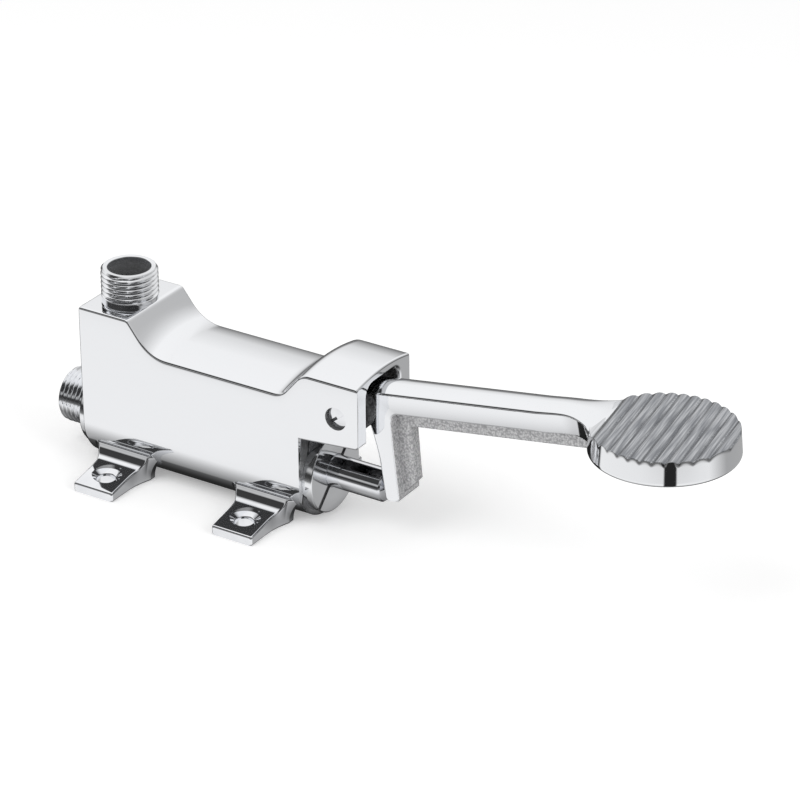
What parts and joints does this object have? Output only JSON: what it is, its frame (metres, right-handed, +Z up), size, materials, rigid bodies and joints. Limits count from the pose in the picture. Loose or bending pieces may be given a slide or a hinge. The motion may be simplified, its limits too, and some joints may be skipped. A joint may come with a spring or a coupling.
{
  "type": "foot-pedal valve",
  "caption": "Chrome-plated foot valve for water: a hinged pedal lever pushes a spring-returned rod that opens the way from a rear inlet to a top outlet.",
  "frame": {"origin": "centre of the four lug holes, on the mounting plane under the body", "axes": "+Z up, square to the floor it is screwed to; +X along the valve's axis towards the pedal"},
  "size_m": [0.2729, 0.072, 0.076],
  "materials": {
    "valve_body": "polished chrome plate",
    "outlet_nipple": "polished chrome plate",
    "inlet_connector": "polished chrome plate",
    "gland_plug": "polished chrome plate",
    "push_rod": "polished chrome plate",
    "pivot_screw": "polished chrome plate",
    "pedal_lever": "polished chrome plate, rib left as cast",
    "outlet_o_ring": "moulded",
    "inlet_o_ring": "moulded",
    "seat_ring": "machined",
    "return_spring": "bright",
    "valve_disc": "machined",
    "seat_washer": "moulded",
    "clamp_washer": "machined",
    "disc_nut": "machined",
    "gland_o_ring": "moulded",
    "rod_o_ring_1": "moulded",
    "rod_o_ring_2": "moulded",
    "pivot_bush": "self-lubricating",
    "lever_washer_near": "self-lubricating",
    "lever_washer_far": "self-lubricating"
  },
  "bodies": {
    "body": {"valve_body": "valve_body", "outlet_nipple": "outlet_nipple", "inlet_connector": "inlet_connector", "gland_plug": "gland_plug", "pivot_screw": "pivot_screw", "outlet_o_ring": "outlet_o_ring", "inlet_o_ring": "inlet_o_ring", "seat_ring": "seat_ring", "return_spring": "return_spring", "gland_o_ring": "gland_o_ring", "rod_o_ring_1": "rod_o_ring_1", "rod_o_ring_2": "rod_o_ring_2", "lever_washer_near": "lever_washer_near", "lever_washer_far": "lever_washer_far"},
    "rod": {"push_rod": "push_rod", "valve_disc": "valve_disc", "seat_washer": "seat_washer", "clamp_washer": "clamp_washer", "disc_nut": "disc_nut"},
    "pedal": {"pedal_lever": "pedal_lever", "pivot_bush": "pivot_bush"}
  },
  "joints": [
    {"name": "pedal_press", "type": "hinge", "parent": "body", "child": "pedal", "pos_m": [0.0627, 0, 0.049], "axis": [0, 1, 0], "range_deg": [0, 12], "stiffness_Nm_per_rad": 3, "springref_deg": -17.19},
    {"name": "rod_slide", "type": "slide", "parent": "body", "child": "rod", "axis": [-1, 0, 0], "range_m": [0, 0.0065], "deforming": ["return_spring"]}
  ],
  "couplings": [
    {"joint": "rod_slide", "follows": "pedal_press", "m_per_rad": 0.03}
  ]
}
